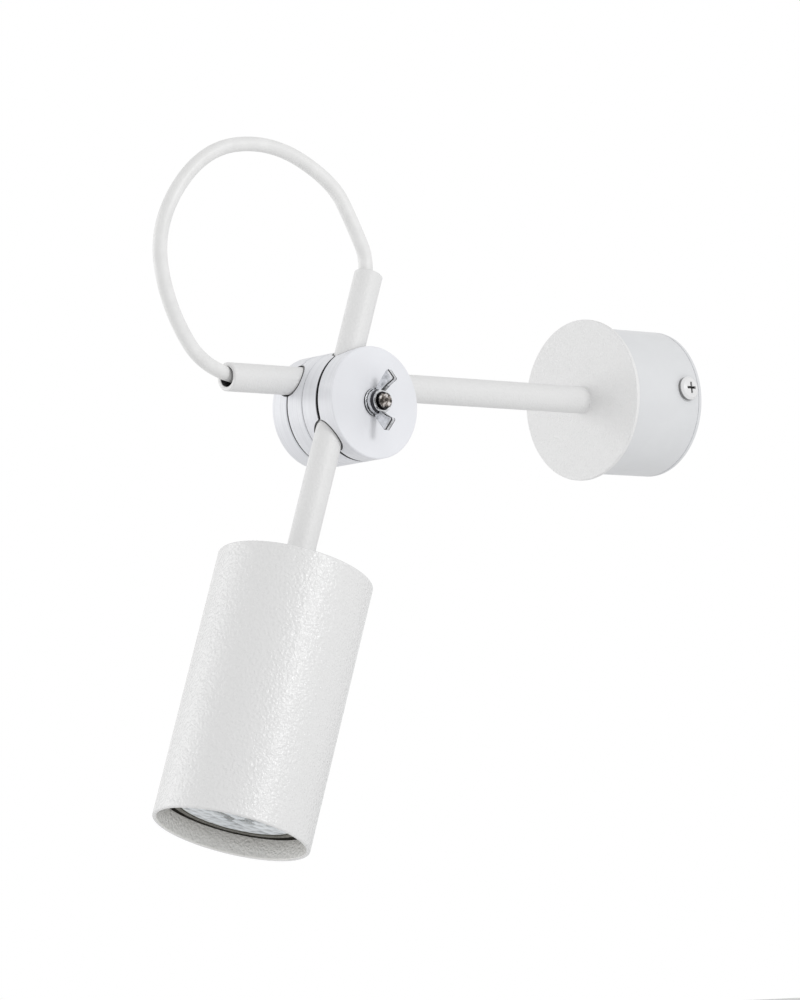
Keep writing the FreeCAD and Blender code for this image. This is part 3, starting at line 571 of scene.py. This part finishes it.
def eased_share(x, up, down):
    """0 to 1 as x does, speeding up over x's first part, up, and slowing over its last, down."""
    x = min(1.0, max(0.0, x))
    top = 1 / (1 - (up + down) / 2)
    if x < up:
        return top * x * x / (2 * up)
    if x > 1 - down:
        return 1 - top * (1 - x) ** 2 / (2 * down)
    return top * (x - up / 2)


def hang_between(piece, points, first, second, begin, finish, easing):
    """Fixes the cable in place and works out each point's share of the way from one body to the
    next, from one length along it to another; the shares are not put to use.
    """
    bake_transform(piece)
    shares = []
    for along in lengths_along(points):
        shares += [eased_share((along - begin) / (finish - begin), *easing)] * CABLE_SIDES
    shares += [shares[0]] * CABLE_SIDES + [shares[-1]] * CABLE_SIDES


def loose_cable():
    # the loop's first 18 mm lie in the arm, and the tail's last 24 mm stay with the stem
    rows = [
        ("loop_cable", "cable_loop", LOOP_ROUTE, {
            "first": "arm_clamp", "second": "head_clamp",
            "begin": 0.018, "finish": 0.163, "easing": (0.05, 0.9)}),
        ("tail_cable", "cable_tail", TAIL_ROUTE, {
            "first": "head_clamp", "second": "spot",
            "begin": 0.0, "finish": 0.044, "easing": (0.6, 0.4)}),
    ]
    for name, node, route, bend in rows:
        line = spline_points(name, route)
        piece = cable_mesh(name, line, route, CABLE / 2)
        dress(piece, sheath)
        hang_between(piece, line, **bend)
        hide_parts(node)


loose_cable()


# ---------------------------------------------------------------- studio


def floor():
    """A wide round floor below the object."""
    mesh = bpy.data.meshes.new("floor")
    far, low, sides = 14.0, -0.42, 96
    turns = [2 * math.pi * i / sides for i in range(sides)]
    rim = [(far * math.cos(turn), far * math.sin(turn), low) for turn in turns]
    mesh.from_pydata(rim, [], [tuple(range(sides))])
    ground = bpy.data.objects.new("floor", mesh)
    bpy.context.scene.collection.objects.link(ground)
    pale = Shader("floor_pale", (0.88, 0.88, 0.88), roughness=0.8)
    pale.tint(pale.noise(3.0), (0.3, (0.87, 0.87, 0.87)), (0.7, (0.90, 0.90, 0.90)))
    ground.data.materials.append(pale.material)


def white_world(level):
    """White behind the object, nearly so in reflections, and dimmer where it only lights."""
    world = bpy.data.worlds.new("studio")
    bpy.context.scene.world = world
    world.use_nodes = True
    nodes, links = world.node_tree.nodes, world.node_tree.links

    def math_node(what, a, b):
        made = nodes.new("ShaderNodeMath")
        made.operation = what
        links.new(a, made.inputs[0])
        if isinstance(b, float):
            made.inputs[1].default_value = b
        else:
            links.new(b, made.inputs[1])
        return made.outputs[0]

    rays, in_gloss = nodes.new("ShaderNodeLightPath").outputs, 0.85
    seen = math_node("MAXIMUM", rays["Is Camera Ray"], rays["Is Transmission Ray"])
    mirrored = math_node("MULTIPLY", rays["Is Glossy Ray"], in_gloss)
    strength = nodes.new("ShaderNodeMapRange")
    strength.inputs["To Min"].default_value = level
    strength.inputs["To Max"].default_value = 1.0
    links.new(math_node("MAXIMUM", seen, mirrored), strength.inputs["Value"])
    shine = nodes["Background"]
    links.new(strength.outputs["Result"], shine.inputs["Strength"])
    shine.inputs["Color"].default_value = (1, 1, 1, 1)


def camera():
    """A long lens that looks from the front right and a little below."""
    eye = bpy.data.cameras.new("camera")
    eye.sensor_width = 36.0
    eye.lens = 159.463
    eye.clip_start, eye.clip_end = 0.05, 50.0
    seen = bpy.data.objects.new("camera", eye)
    right = Vector((0.657502, 0.752002, -0.046725))
    up = Vector((0.108304, -0.032960, 0.993571))
    back = Vector((0.745628, -0.658336, -0.103116))
    place = Matrix((right, up, back)).transposed().to_4x4()
    place.translation = Vector((1.279599, -1.268675, -0.220842))
    seen.matrix_world = place
    bpy.context.scene.collection.objects.link(seen)
    bpy.context.scene.camera = seen


def lit_from(name, way, size, share):
    """A square soft light in that direction, as a share of a full white light."""
    middle, distance = Vector((0.0, -0.15, -0.05)), 1.8
    light = bpy.data.lights.new(name, "AREA")
    light.shape = "RECTANGLE"
    light.size = light.size_y = size
    light.energy = share * (math.pi * distance) ** 2
    place = middle + Vector(way).normalized() * distance
    lamp = bpy.data.objects.new(name, light)
    lamp.location = place
    lamp.rotation_euler = (middle - place).to_track_quat("-Z", "Y").to_euler()
    bpy.context.scene.collection.objects.link(lamp)


floor()
white_world(level=0.69)
lit_from("right", (0.944, 0.07, 0.323), size=0.42, share=0.28)
lit_from("left", (-0.76, -0.62, 0.15), size=1.5, share=0.38)
camera()
bpy.context.scene.view_settings.view_transform = "Standard"
